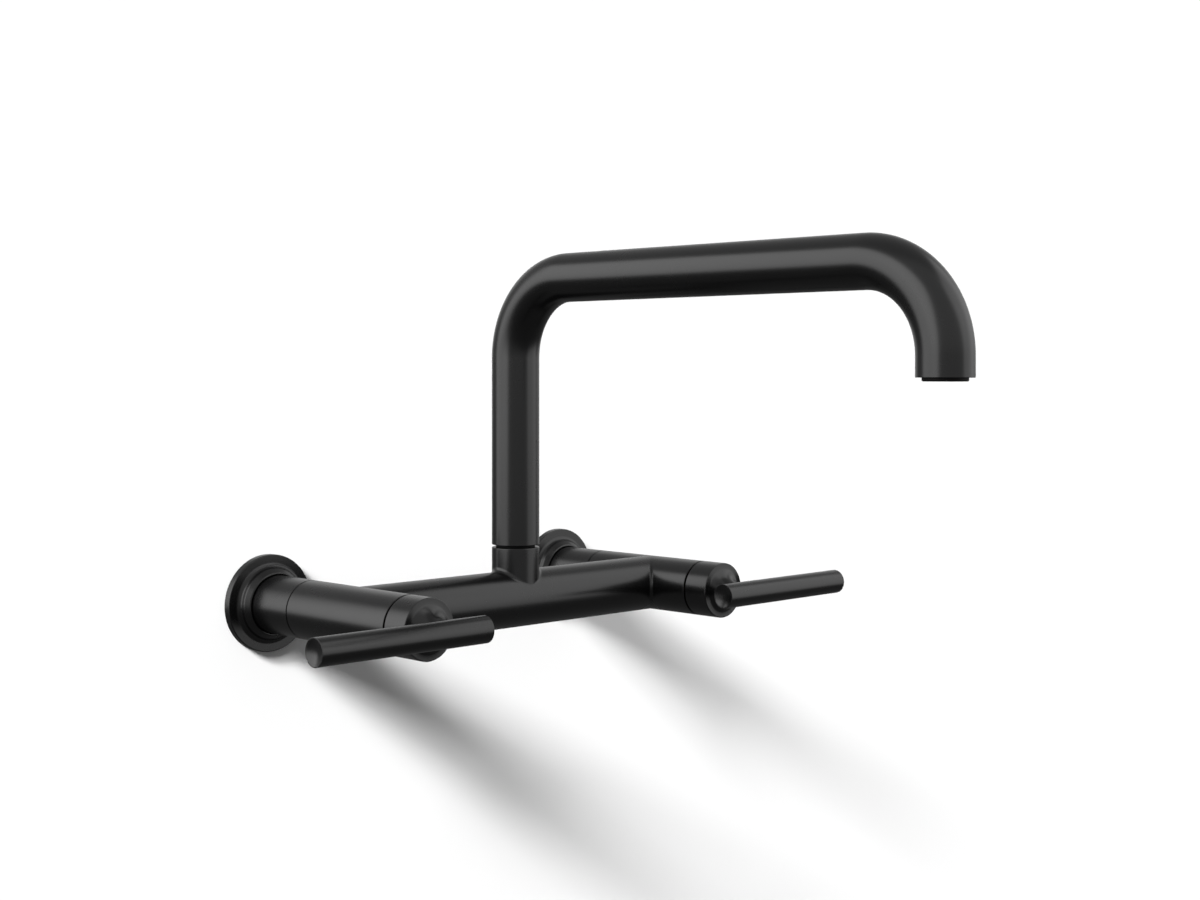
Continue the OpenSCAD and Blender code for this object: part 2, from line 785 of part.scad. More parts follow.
bridge_tube();
spout_socket();
spout_set_screw();
glide_ring();
spout_shank();
shank_orings();
spout_tube();
aerator_housing();
aerator_washer();
flow_regulator();
aerator_screen();
for (side = SIDES) on_arm(side) {
  escutcheon();
  escutcheon_gasket();
  escutcheon_oring();
  inlet_sleeve();
  inlet_adapter();
  inlet_washer();
  tailpiece();
  valve_body(side);
  cartridge_housing(side);
  cartridge_seal();
  cartridge_oring();
  fixed_disc();
  moving_disc();
  cartridge_stem();
  stem_orings();
  stem_clip();
  handle_hub();
  hub_set_screw();
  lever(side);
  lever_stud();
}
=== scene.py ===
import json
import math

import bmesh
import bpy
from mathutils import Matrix, Vector


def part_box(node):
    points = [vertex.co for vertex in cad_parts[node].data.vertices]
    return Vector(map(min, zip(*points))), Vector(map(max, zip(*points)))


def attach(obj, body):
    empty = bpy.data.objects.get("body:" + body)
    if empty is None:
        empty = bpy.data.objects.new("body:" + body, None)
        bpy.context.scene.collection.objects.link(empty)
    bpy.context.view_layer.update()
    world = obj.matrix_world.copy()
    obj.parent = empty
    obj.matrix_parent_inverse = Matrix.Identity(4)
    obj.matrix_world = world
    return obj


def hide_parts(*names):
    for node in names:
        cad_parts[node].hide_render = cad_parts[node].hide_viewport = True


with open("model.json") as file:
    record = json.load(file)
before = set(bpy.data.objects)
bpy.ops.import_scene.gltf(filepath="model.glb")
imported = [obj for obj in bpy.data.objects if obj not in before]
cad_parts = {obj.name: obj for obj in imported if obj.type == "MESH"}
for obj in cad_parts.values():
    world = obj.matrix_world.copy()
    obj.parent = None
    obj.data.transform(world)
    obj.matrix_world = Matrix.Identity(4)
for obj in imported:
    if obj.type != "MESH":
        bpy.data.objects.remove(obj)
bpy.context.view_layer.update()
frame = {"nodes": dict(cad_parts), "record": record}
MM = 0.001

# Places and sizes that come from the frame, in metres
SIDES = ("left", "right")
ARM_X = {side: sum(corner.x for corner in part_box(f"{side}_valve_body")) / 2 for side in SIDES}
body_low, body_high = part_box("left_valve_body")
ARM_R = (body_high.x - body_low.x) / 2
bridge_low, bridge_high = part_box("bridge_tube")
BRIDGE_R = (bridge_high.z - bridge_low.z) / 2
BRIDGE_Y = (bridge_low.y + bridge_high.y) / 2
spout_low, spout_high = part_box("spout_tube")
SPOUT_R = (spout_high.x - spout_low.x) / 2
SPOUT_TOP = spout_high.z - SPOUT_R
OUTLET_Y = spout_low.y + SPOUT_R
socket_low, socket_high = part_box("spout_socket")

# Sizes that the boxes don't give
BEND_R = 40.5 * MM
TUBE_WALL = 1.5 * MM
OUTLET_STRAIGHT = 9.3 * MM
EDGE_ROUND = 0.5 * MM
SEAM_ROUND = 0.2 * MM
GAP_ROUND = 0.35 * MM
BRAZE_R = 1.6 * MM
SOCKET_BRAZE_R = 2.6 * MM
RUNNING = 0.05 * MM
SEATED = 0.02 * MM
SLIP = 0.25 * MM

# Fineness of the round shapes
TURN_STEPS = 128
BEND_STEPS = 40
ROUND_STEPS = 6
BRAZE_STEPS = 8
SMOOTH_ANGLE = math.radians(28)
TURNS = [math.tau * k / TURN_STEPS for k in range(TURN_STEPS)]


def operate(piece):
    """Makes one piece the only selected one and the active one."""
    bpy.ops.object.select_all(action="DESELECT")
    piece.select_set(True)
    bpy.context.view_layer.objects.active = piece


def apply_modifier(piece, kind, **values):
    """Adds a modifier with these values and applies it at once."""
    operate(piece)
    modifier = piece.modifiers.new(kind.title(), kind)
    for name, value in values.items():
        setattr(modifier, name, value)
    bpy.ops.object.modifier_apply(modifier=modifier.name)


def finish_piece(piece, name, body, slot, *nodes):
    """Names and smooths a piece, gives it its finish and lets it ride in place of its nodes."""
    operate(piece)
    bpy.ops.object.transform_apply(location=True, rotation=True, scale=True)
    bpy.ops.object.shade_smooth_by_angle(angle=SMOOTH_ANGLE)
    apply_modifier(piece, "WEIGHTED_NORMAL", keep_sharp=True, weight=100)
    piece.name = name
    piece.data.name = name
    piece.data.materials.clear()
    piece.data.materials.append(NODE_FINISHES[slot])
    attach(piece, body)
    if nodes:
        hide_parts(*nodes)
    return piece


def rounded_line(corners, steps=ROUND_STEPS):
    """Points of a line through corners (x, y, radius), with an arc in each inner corner."""
    points = []
    for i, (x, y, radius) in enumerate(corners):
        corner = Vector((x, y))
        if radius == 0 or i in (0, len(corners) - 1):
            points.append(corner)
            continue
        before = (Vector(corners[i - 1][:2]) - corner).normalized()
        after = (Vector(corners[i + 1][:2]) - corner).normalized()
        half = before.angle(after) / 2
        centre = corner + (before + after).normalized() * radius / math.sin(half)
        start = corner + before * radius / math.tan(half) - centre
        end = corner + after * radius / math.tan(half) - centre
        turn = math.atan2(start.x * end.y - start.y * end.x, start.dot(end))
        for k in range(steps + 1):
            points.append(centre + Matrix.Rotation(turn * k / steps, 2) @ start)
    return points


def turned(outline, origin, rotation=(0, 0, 0)):
    """A turned piece: its outline of points (radius, height) is drawn and spun about the Z axis."""
    bpy.ops.object.select_all(action="DESELECT")
    bpy.ops.mesh.primitive_plane_add(size=MM, location=(0, 0, 0))
    piece = bpy.context.object
    bpy.ops.object.mode_set(mode="EDIT")
    bpy.ops.mesh.select_all(action="SELECT")
    bpy.ops.mesh.merge(type="CENTER")
    here = Vector((0, 0))
    for i, point in enumerate(outline):
        step = point - here
        here = point
        if i == 0:
            bpy.ops.transform.translate(value=(step.x, 0, step.y))
        else:
            bpy.ops.mesh.extrude_region_move(TRANSFORM_OT_translate={"value": (step.x, 0, step.y)})
    bpy.ops.mesh.select_all(action="SELECT")
    bpy.ops.mesh.spin(steps=TURN_STEPS, angle=math.tau, center=(0, 0, 0), axis=(0, 0, 1))
    bpy.ops.mesh.select_all(action="SELECT")
    bpy.ops.mesh.remove_doubles(threshold=1e-7)
    bpy.ops.mesh.normals_make_consistent(inside=False)
    bpy.ops.object.mode_set(mode="OBJECT")
    piece.rotation_euler = rotation
    piece.location = origin
    operate(piece)
    bpy.ops.object.transform_apply(location=True, rotation=True, scale=True)
    return piece


# A turned piece on an arm stands on the wall and points out of it
OUT_OF_WALL = (math.pi / 2, 0, 0)


def arm_turned(side, outline):
    """A turned piece on the axis of one arm. Heights in its outline are distances from the wall."""
    return turned(outline, (ARM_X[side], 0, 0), OUT_OF_WALL)


def ring_outline(r_in, r_out, start, end, start_round, end_round):
    """Closed outline of a ring whose outer edges are rounded."""
    return rounded_line(
        [
            (r_in, start, 0),
            (r_out, start, start_round),
            (r_out, end, end_round),
            (r_in, end, 0),
            (r_in, start, 0),
        ]
    )


def skinned(name, rings):
    """A closed skin over rings of points. The first and last ring are closed with a fan."""
    mesh = bpy.data.meshes.new(name)
    skin = bmesh.new()
    rows = [[skin.verts.new(point) for point in ring] for ring in rings]
    count = len(rings[0])
    for row, following in zip(rows, rows[1:]):
        for i in range(count):
            j = (i + 1) % count
            skin.faces.new((row[i], row[j], following[j], following[i]))
    for row in (rows[0], rows[-1]):
        middle = skin.verts.new(sum((vert.co for vert in row), Vector()) / count)
        for i in range(count):
            skin.faces.new((row[i], row[(i + 1) % count], middle))
    bmesh.ops.remove_doubles(skin, verts=skin.verts, dist=1e-7)
    bmesh.ops.recalc_face_normals(skin, faces=skin.faces)
    skin.to_mesh(mesh)
    skin.free()
    piece = bpy.data.objects.new(name, mesh)
    bpy.context.scene.collection.objects.link(piece)
    return piece


def arc_between(start, end, centre, steps):
    """Points of the arc from start to end about centre, both ends included."""
    a = start - centre
    b = end - centre
    angle = a.angle(b) if a.length > 0 and b.length > 0 else 0
    if angle < 1e-6:
        return [start.copy() for _ in range(steps + 1)]
    points = []
    for k in range(steps + 1):
        share = k / steps
        weight_a = math.sin((1 - share) * angle) / math.sin(angle)
        weight_b = math.sin(share * angle) / math.sin(angle)
        points.append(centre + a * weight_a + b * weight_b)
    return points


def bore_for_screw(piece, node, inwards, depth):
    """Cuts the round hole of a set screw into a piece. Depth counts from the head of the screw."""
    low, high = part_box(node)
    inwards = Vector(inwards)
    radius = (high.x - low.x) / 2 + SEATED
    length = abs((high - low).dot(inwards))
    above = 5 * MM
    place = (low + high) / 2 - inwards * (length / 2 + above)
    depth += above
    bpy.ops.object.select_all(action="DESELECT")
    bpy.ops.mesh.primitive_cylinder_add(
        vertices=48,
        radius=radius,
        depth=depth,
        location=place + inwards * depth / 2,
        rotation=inwards.to_track_quat("Z", "Y").to_euler(),
    )
    cutter = bpy.context.object
    apply_modifier(piece, "BOOLEAN", operation="DIFFERENCE", object=cutter, solver="EXACT")
    bpy.data.objects.remove(cutter, do_unlink=True)


def group_socket(tree, name, kind, outgoing=False, default=None):
    """Adds a named input or output to a node group."""
    in_out = "OUTPUT" if outgoing else "INPUT"
    socket = tree.interface.new_socket(name=name, in_out=in_out, socket_type=kind)
    if default is not None:
        socket.default_value = default


def coating_grain_group():
    """Fine grain of a surface: a height for bump, and a drift for colour and roughness."""
    tree = bpy.data.node_groups.new("Coating grain", "ShaderNodeTree")
    group_socket(tree, "Grain size", "NodeSocketFloat", default=0.4)
    group_socket(tree, "Base roughness", "NodeSocketFloat", default=0.4)
    group_socket(tree, "Roughness spread", "NodeSocketFloat", default=0.04)
    group_socket(tree, "Height", "NodeSocketFloat", outgoing=True)
    group_socket(tree, "Roughness", "NodeSocketFloat", outgoing=True)
    group_socket(tree, "Tone", "NodeSocketFloat", outgoing=True)
    nodes, links = tree.nodes, tree.links
    inlet = nodes.new("NodeGroupInput")
    outlet = nodes.new("NodeGroupOutput")
    place = nodes.new("ShaderNodeTexCoord")
    scale = nodes.new("ShaderNodeMath")
    scale.operation = "DIVIDE"
    scale.inputs[0].default_value = 1 / MM
    links.new(inlet.outputs["Grain size"], scale.inputs[1])
    grain = nodes.new("ShaderNodeTexNoise")
    grain.inputs["Detail"].default_value = 3
    grain.inputs["Roughness"].default_value = 0.6
    links.new(place.outputs["Object"], grain.inputs["Vector"])
    links.new(scale.outputs[0], grain.inputs["Scale"])
    cloud = nodes.new("ShaderNodeTexNoise")
    cloud.inputs["Scale"].default_value = 38
    cloud.inputs["Detail"].default_value = 4
    links.new(place.outputs["Object"], cloud.inputs["Vector"])
    centred = nodes.new("ShaderNodeMath")
    centred.operation = "SUBTRACT"
    centred.inputs[1].default_value = 0.5
    links.new(cloud.outputs["Fac"], centred.inputs[0])
    spread = nodes.new("ShaderNodeMath")
    spread.operation = "MULTIPLY_ADD"
    links.new(centred.outputs[0], spread.inputs[0])
    links.new(inlet.outputs["Roughness spread"], spread.inputs[1])
    links.new(inlet.outputs["Base roughness"], spread.inputs[2])
    links.new(grain.outputs["Fac"], outlet.inputs["Height"])
    links.new(spread.outputs[0], outlet.inputs["Roughness"])
    links.new(cloud.outputs["Fac"], outlet.inputs["Tone"])
    return tree


GRAIN = coating_grain_group()


def grained_material(name, dark, light, metallic, roughness, spread, grain_mm, bump, specular=0.5):
    """Principled finish with a grain: two tones that drift over the surface, roughness and bump."""
    material = bpy.data.materials.new(name)
    material.use_nodes = True
    nodes, links = material.node_tree.nodes, material.node_tree.links
    shader = nodes["Principled BSDF"]
    shader.inputs["Metallic"].default_value = metallic
    shader.inputs["Specular IOR Level"].default_value = specular
    grain = nodes.new("ShaderNodeGroup")
    grain.node_tree = GRAIN
    grain.inputs["Grain size"].default_value = grain_mm
    grain.inputs["Base roughness"].default_value = roughness
    grain.inputs["Roughness spread"].default_value = spread
    tones = nodes.new("ShaderNodeMix")
    tones.data_type = "RGBA"
    tones.inputs[6].default_value = (*dark, 1)
    tones.inputs[7].default_value = (*light, 1)
    links.new(grain.outputs["Tone"], tones.inputs[0])
    links.new(tones.outputs[2], shader.inputs["Base Color"])
    links.new(grain.outputs["Roughness"], shader.inputs["Roughness"])
    relief = nodes.new("ShaderNodeBump")
    relief.inputs["Strength"].default_value = bump
    relief.inputs["Distance"].default_value = 0.02 * MM
    links.new(grain.outputs["Height"], relief.inputs["Height"])
    links.new(relief.outputs["Normal"], shader.inputs["Normal"])
    return material


def wall_material(name, tone, glow):
    """White wall or floor: diffuse, a little brighter to the camera, and clear from behind."""
    material = bpy.data.materials.new(name)
    material.use_nodes = True
    nodes, links = material.node_tree.nodes, material.node_tree.links
    nodes.remove(nodes["Principled BSDF"])
    output = nodes["Material Output"]
    paint = nodes.new("ShaderNodeBsdfDiffuse")
    paint.inputs["Color"].default_value = (tone, tone, tone, 1)
    shine = nodes.new("ShaderNodeEmission")
    shine.inputs["Color"].default_value = (1, 1, 1, 1)
    path = nodes.new("ShaderNodeLightPath")
    strength = nodes.new("ShaderNodeMath")
    strength.operation = "MULTIPLY"
    strength.inputs[1].default_value = glow
    links.new(path.outputs["Is Camera Ray"], strength.inputs[0])
    links.new(strength.outputs[0], shine.inputs["Strength"])
    front = nodes.new("ShaderNodeAddShader")
    links.new(paint.outputs[0], front.inputs[0])
    links.new(shine.outputs[0], front.inputs[1])
    clear = nodes.new("ShaderNodeBsdfTransparent")
    facing = nodes.new("ShaderNodeNewGeometry")
    sides = nodes.new("ShaderNodeMixShader")
    links.new(facing.outputs["Backfacing"], sides.inputs[0])
    links.new(front.outputs[0], sides.inputs[1])
    links.new(clear.outputs[0], sides.inputs[2])
    links.new(sides.outputs[0], output.inputs["Surface"])
    return material


NODE_FINISHES = {
    "satin_black": grained_material(
        "Satin black coating",
        dark=(0.0018, 0.0018, 0.0019),
        light=(0.003, 0.003, 0.0032),
        metallic=0.0,
        roughness=0.27,
        spread=0.04,
        grain_mm=0.35,
        bump=0.12,
    ),
    "brass": grained_material(
        "Machined brass",
        dark=(0.52, 0.36, 0.13),
        light=(0.62, 0.44, 0.18),
        metallic=1.0,
        roughness=0.3,
        spread=0.1,
        grain_mm=0.8,
        bump=0.2,
    ),
    "steel": grained_material(
        "Plain steel",
        dark=(0.40, 0.41, 0.42),
        light=(0.50, 0.51, 0.53),
        metallic=1.0,
        roughness=0.32,
        spread=0.1,
        grain_mm=0.5,
        bump=0.2,
    ),
    "rubber": grained_material(
        "Black rubber",
        dark=(0.012, 0.012, 0.012),
        light=(0.02, 0.02, 0.021),
        metallic=0.0,
        roughness=0.6,
        spread=0.1,
        grain_mm=0.3,
        bump=0.4,
    ),
    "foam": grained_material(
        "Foam gasket",
        dark=(0.02, 0.02, 0.021),
        light=(0.04, 0.04, 0.042),
        metallic=0.0,
        roughness=0.85,
        spread=0.1,
        grain_mm=0.7,
        bump=0.3,
    ),
    "ceramic": grained_material(
        "Lapped ceramic",
        dark=(0.74, 0.71, 0.64),
        light=(0.82, 0.79, 0.72),
        metallic=0.0,
        roughness=0.22,
        spread=0.05,
        grain_mm=0.4,
        bump=0.1,
    ),
    "black_plastic": grained_material(
        "Black plastic",
        dark=(0.002, 0.002, 0.002),
        light=(0.004, 0.004, 0.004),
        metallic=0.0,
        roughness=0.75,
        spread=0.08,
        grain_mm=0.4,
        bump=0.2,
        specular=0.15,
    ),
    "aerator_plastic": grained_material(
        "Aerator plastic",
        dark=(0.004, 0.004, 0.004),
        light=(0.007, 0.007, 0.007),
        metallic=0.0,
        roughness=0.6,
        spread=0.08,
        grain_mm=0.4,
        bump=0.2,
        specular=0.15,
    ),
    "grey_plastic": grained_material(
        "Grey plastic",
        dark=(0.2, 0.21, 0.22),
        light=(0.28, 0.29, 0.3),
        metallic=0.0,
        roughness=0.5,
        spread=0.08,
        grain_mm=0.4,
        bump=0.2,
    ),
}


def dress_nodes():
    """Gives every CAD node the finish of its material slot."""
    for row in frame["record"]["subparts"]:
        mesh = frame["nodes"][row["node"]].data
        mesh.materials.clear()
        mesh.materials.append(NODE_FINISHES[row["material_slot"]])


def wall_range(node):
    """Distances from the wall at which a node on an arm starts and ends."""
    low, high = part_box(node)
    return -high.y, -low.y


def make_escutcheon(side):
    """Round wall flange: groove for the gasket, flat rim, cove, and a sloping collar."""
    node = f"{side}_escutcheon"
    low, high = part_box(node)
    start, end = wall_range(node)
    rim_r = (high.x - low.x) / 2
    rim_t = 4.4 * MM
    cove_r = 2.6 * MM
    lip_gap = 0.65 * MM
    lip_w = 0.5 * MM
    shoulder_w = 2 * MM
    shoulder_drop = 2.6 * MM
    shoulder_round = 2 * MM
    lip_round = 1.2 * MM
    foot_w = 0.9 * MM
    relief = 5 * MM
    inner_round = 0.2 * MM
    step_round = 0.1 * MM
    gasket_land = 2.9 * MM
    arc_steps = 10
    bore_r = ARM_R + SLIP
    lip_r = ARM_R + lip_gap
    shoulder_r = lip_r + lip_w + shoulder_w
    foot_r = shoulder_r + foot_w
    gasket_low, gasket_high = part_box(f"{side}_escutcheon_gasket")
    land_r = bore_r + gasket_land - SEATED
    groove_r = (gasket_high.x - gasket_low.x) / 2 + SEATED
    groove = start + gasket_high.y - gasket_low.y + SEATED
    outline = rounded_line(
        [
            (bore_r, start, 0),
            (land_r, start, 0),
            (land_r, groove, 0),
            (groove_r, groove, 0),
            (groove_r, start, 0),
            (rim_r, start, EDGE_ROUND),
            (rim_r, rim_t, EDGE_ROUND),
            (foot_r, rim_t, cove_r),
            (shoulder_r, end - shoulder_drop, shoulder_round),
            (lip_r + lip_w, end, lip_round),
            (lip_r, end, inner_round),
            (lip_r, relief, inner_round),
            (bore_r, relief, step_round),
            (bore_r, start, 0),
        ],
        arc_steps,
    )
    piece = arm_turned(side, outline)
    return finish_piece(piece, f"{side}_wall_flange", "faucet_body", "satin_black", node)


def make_sleeve(side):
    """Coupling sleeve between escutcheon and seam."""
    node = f"{side}_inlet_sleeve"
    start, end = wall_range(node)
    wall = 1.9 * MM
    outline = ring_outline(ARM_R - wall, ARM_R, start, end, EDGE_ROUND, SEAM_ROUND)
    piece = arm_turned(side, outline)
    return finish_piece(piece, f"{side}_coupling_sleeve", "faucet_body", "satin_black", node)


def make_valve_body(side):
    """Length of arm from the seam to the hub gap, open in front round the cartridge."""
    node = f"{side}_valve_body"
    start, end = wall_range(node)
    cavity_r = 10.4 * MM
    piece = arm_turned(side, ring_outline(cavity_r, ARM_R, start, end, SEAM_ROUND, GAP_ROUND))
    return finish_piece(piece, f"{side}_valve_arm", "faucet_body", "satin_black", node)


def make_hub(side):
    """Hub with a flat rim and a flared neck that meets the lever, hollow round the cartridge."""
    node = f"{side}_handle_hub"
    start, _ = wall_range(node)
    rim_length = 14.7 * MM
    face = start + rim_length
    lever_start, lever_end = wall_range(f"{side}_lever")
    lever_axis = (lever_start + lever_end) / 2
    base_r = 12 * MM
    neck_r = 5 * MM
    flare_r = 10.6 * MM
    slope = math.asin((neck_r + flare_r - base_r) / flare_r)
    middle = Vector((neck_r + flare_r, face + flare_r * math.cos(slope)))
    flare_steps = 14
    angles = [slope + (math.pi / 2 - slope) * k / flare_steps for k in range(flare_steps + 1)]
    flare = [middle - Vector((flare_r * math.sin(a), flare_r * math.cos(a))) for a in angles]
    recess_r = 13.1 * MM
    recess_depth = 5 * MM
    recess_end = start + recess_depth
    recess_round = 0.3 * MM
    screw_hole = 6 * MM
    outline = rounded_line(
        [
            (0, recess_end, 0),
            (recess_r, recess_end, 0),
            (recess_r, start, recess_round),
            (ARM_R, start, GAP_ROUND),
            (ARM_R, face, EDGE_ROUND),
            (*flare[0], 0),
        ]
    )
    outline += flare[1:]
    outline += [Vector((neck_r, lever_axis)), Vector((0, lever_axis))]
    piece = arm_turned(side, outline)
    bore_for_screw(piece, f"{side}_hub_set_screw", (0, 0, 1), screw_hole)
    return finish_piece(piece, f"{side}_hub", f"{side}_handle", "satin_black", node)


def make_lever(side):
    """Round lever with a shallow dish in each end."""
    node = f"{side}_lever"
    low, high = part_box(node)
    radius = (high.z - low.z) / 2
    length = high.x - low.x
    rim_w = 0.45 * MM
    dish_r = radius - rim_w
    dish_depth = 1.2 * MM
    ball_r = (dish_r**2 + dish_depth**2) / (2 * dish_depth)
    reach = math.asin(dish_r / ball_r)
    dish_steps = 10
    dish = []
    for k in range(dish_steps + 1):
        angle = reach * k / dish_steps
        dish.append(Vector((ball_r * math.sin(angle), dish_depth - ball_r * (1 - math.cos(angle)))))
    edge = 0.15 * MM
    edge_steps = 3
    outline = dish[:-1]
    outline += rounded_line(
        [
            (*dish[-1], 0),
            (radius, 0, edge),
            (radius, length, edge),
            (dish_r, length, 0),
        ],
        edge_steps,
    )
    outline += [Vector((p.x, length - p.y)) for p in reversed(dish[:-1])]
    origin = (low.x, (low.y + high.y) / 2, (low.z + high.z) / 2)
    piece = turned(outline, origin, (0, math.pi / 2, 0))
    return finish_piece(piece, f"{side}_lever_rod", f"{side}_handle", "satin_black", node)


def make_bridge():
    """Bridge between the arms, flared at both ends by the fillet of its brazed joint."""
    steps = BRAZE_STEPS
    ball_r = ARM_R + BRAZE_R

    def end_rings(side):
        inwards = 1 if side == "left" else -1
        columns = []
        for turn in TURNS:
            height = math.sin(turn)
            depth = math.cos(turn)
            middle_x = ARM_X[side] + inwards * ball_r * abs(depth)
            arm_x = ARM_X[side] + inwards * ARM_R * abs(depth)
            fillet_y = BRIDGE_Y + ball_r * depth
            middle = Vector((middle_x, fillet_y, ball_r * height))
            on_arm = Vector((arm_x, fillet_y, ARM_R * height))
            on_bridge = Vector((middle_x, BRIDGE_Y + BRIDGE_R * depth, BRIDGE_R * height))
            columns.append(arc_between(on_arm, on_bridge, middle, steps))
        return [[column[k] for column in columns] for k in range(steps + 1)]

    rings = end_rings("left") + list(reversed(end_rings("right")))
    piece = skinned("bridge", rings)
    return finish_piece(piece, "bridge", "faucet_body", "satin_black", "bridge_tube")


def make_socket():
    """Collar on the bridge, with a fillet at its foot and a rounded top edge."""
    steps = BRAZE_STEPS
    fillet_r = SPOUT_R + SOCKET_BRAZE_R
    share = BRIDGE_R / (BRIDGE_R + SOCKET_BRAZE_R)
    columns = []
    for turn in TURNS:
        along = math.cos(turn)
        across = math.sin(turn)
        height = math.sqrt((BRIDGE_R + SOCKET_BRAZE_R) ** 2 - (fillet_r * across) ** 2)
        middle = Vector((fillet_r * along, BRIDGE_Y + fillet_r * across, height))
        foot = Vector((middle.x, BRIDGE_Y + fillet_r * across * share, height * share))
        on_socket = Vector((SPOUT_R * along, BRIDGE_Y + SPOUT_R * across, height))
        columns.append(arc_between(foot, on_socket, middle, steps))
    rings = [[column[k] for column in columns] for k in range(steps + 1)]
    top = socket_high.z
    neck_r = 8.7 * MM
    neck_depth = 3 * MM
    screw_hole = 3 * MM
    crown = rounded_line(
        [
            (SPOUT_R, top - neck_depth, 0),
            (SPOUT_R, top, EDGE_ROUND),
            (neck_r, top, 0),
            (neck_r, top - neck_depth, 0),
        ]
    )
    for radius, z in crown:
        ring = [(radius * math.cos(turn), BRIDGE_Y + radius * math.sin(turn), z) for turn in TURNS]
        rings.append([Vector(point) for point in ring])
    piece = skinned("spout_collar", rings)
    bore_for_screw(piece, "spout_set_screw", (0, -1, 0), screw_hole)
    return finish_piece(piece, "spout_collar", "faucet_body", "satin_black", "spout_socket")


def make_spout():
    """Spout tube: a circle drawn up, spun through the bends and drawn out, then given its wall."""
    end_round = 0.25 * MM
    quarter = -math.pi / 2
    riser_top = SPOUT_TOP - BEND_R
    level = (BRIDGE_Y - BEND_R) - (OUTLET_Y + BEND_R)
    bpy.ops.object.select_all(action="DESELECT")
    bpy.ops.mesh.primitive_circle_add(vertices=TURN_STEPS, radius=SPOUT_R)
    piece = bpy.context.object
    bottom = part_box("glide_ring")[1].z + RUNNING
    piece.location = (0, BRIDGE_Y, bottom)
    bpy.ops.object.transform_apply(location=True)
    bpy.ops.object.mode_set(mode="EDIT")
    bpy.ops.mesh.select_all(action="SELECT")
    bpy.ops.mesh.extrude_region_move(TRANSFORM_OT_translate={"value": (0, 0, riser_top - bottom)})
    first_bend = (0, BRIDGE_Y - BEND_R, riser_top)
    bpy.ops.mesh.spin(steps=BEND_STEPS, angle=quarter, center=first_bend, axis=(1, 0, 0))
    bpy.ops.mesh.extrude_region_move(TRANSFORM_OT_translate={"value": (0, -level, 0)})
    second_bend = (0, OUTLET_Y + BEND_R, riser_top)
    bpy.ops.mesh.spin(steps=BEND_STEPS, angle=quarter, center=second_bend, axis=(1, 0, 0))
    bpy.ops.mesh.extrude_region_move(TRANSFORM_OT_translate={"value": (0, 0, -OUTLET_STRAIGHT)})
    bpy.ops.mesh.select_all(action="SELECT")
    bpy.ops.mesh.remove_doubles(threshold=1e-7)
    bpy.ops.mesh.normals_make_consistent(inside=False)
    bpy.ops.object.mode_set(mode="OBJECT")
    apply_modifier(piece, "SOLIDIFY", thickness=TUBE_WALL, offset=-1)
    apply_modifier(
        piece,
        "BEVEL",
        width=end_round,
        segments=4,
        limit_method="ANGLE",
        angle_limit=math.radians(60),
    )
    return finish_piece(piece, "spout", "spout", "satin_black", "spout_tube")


def make_aerator():
    """Ring of the aerator that stands out of the outlet."""
    low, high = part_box("aerator_housing")
    nose_r = 9.7 * MM
    bore_r = 8.5 * MM
    outer_round = 0.6 * MM
    inner_round = 0.3 * MM
    arc_steps = 4
    outline = rounded_line(
        [
            (bore_r, high.z, 0),
            (nose_r, high.z, 0),
            (nose_r, low.z, outer_round),
            (bore_r, low.z, inner_round),
            (bore_r, high.z, 0),
        ],
        arc_steps,
    )
    piece = turned(outline, (0, OUTLET_Y, 0))
    return finish_piece(piece, "aerator_ring", "spout", "aerator_plastic", "aerator_housing")


# The photograph's camera, in the frame of the part
CAMERA_PLACE = (-608.4 * MM, -758.0 * MM, 119.2 * MM)
CAMERA_TURN = math.radians(-44.59)
CAMERA_LENS = 52.46
CAMERA_SENSOR = 36
CAMERA_SHIFT_X = -0.0002
CAMERA_SHIFT_Y = -0.06697


def make_camera():
    """Level camera at the photograph's place. Its shift takes the place of a tilt."""
    camera = bpy.data.objects.new("Camera", bpy.data.cameras.new("Camera"))
    bpy.context.scene.collection.objects.link(camera)
    camera.location = CAMERA_PLACE
    camera.rotation_euler = (math.pi / 2, 0, CAMERA_TURN)
    camera.data.lens = CAMERA_LENS
    camera.data.sensor_width = CAMERA_SENSOR
    camera.data.shift_x = CAMERA_SHIFT_X
    camera.data.shift_y = CAMERA_SHIFT_Y
    camera.data.clip_start = 0.01
    camera.data.clip_end = 50
    bpy.context.scene.camera = camera


def collected(name, pieces, state):
    """A collection for light linking, with all its pieces in one state."""
    group = bpy.data.collections.new(name)
    for piece in pieces:
        group.objects.link(piece)
    for row in group.collection_objects:
        row.light_linking.link_state = state
    return group


STAGE_SIZE = 8
WALL_MIDDLE = 1.5
WALL_GAP = 0.4 * MM
FLOOR_HEIGHT = -0.9


def make_stage():
    """White wall behind the faucet and a pale floor below it. The coat mirrors neither."""
    bpy.ops.object.select_all(action="DESELECT")
    bpy.ops.mesh.primitive_plane_add(
        size=STAGE_SIZE, location=(0, WALL_GAP, WALL_MIDDLE), rotation=(math.pi / 2, 0, 0)
    )
    wall = bpy.context.object
    wall.name = "Wall"
    wall.data.materials.append(wall_material("White wall", tone=0.78, glow=0.0))
    bpy.ops.object.select_all(action="DESELECT")
    bpy.ops.mesh.primitive_plane_add(size=STAGE_SIZE, location=(0, -STAGE_SIZE / 2, FLOOR_HEIGHT))
    floor = bpy.context.object
    floor.name = "Floor"
    floor.data.materials.append(wall_material("Pale floor", tone=0.8, glow=0.1))
    for stage in (wall, floor):
        stage.visible_glossy = False
        stage.visible_diffuse = False
        stage.visible_shadow = False
    return wall, floor


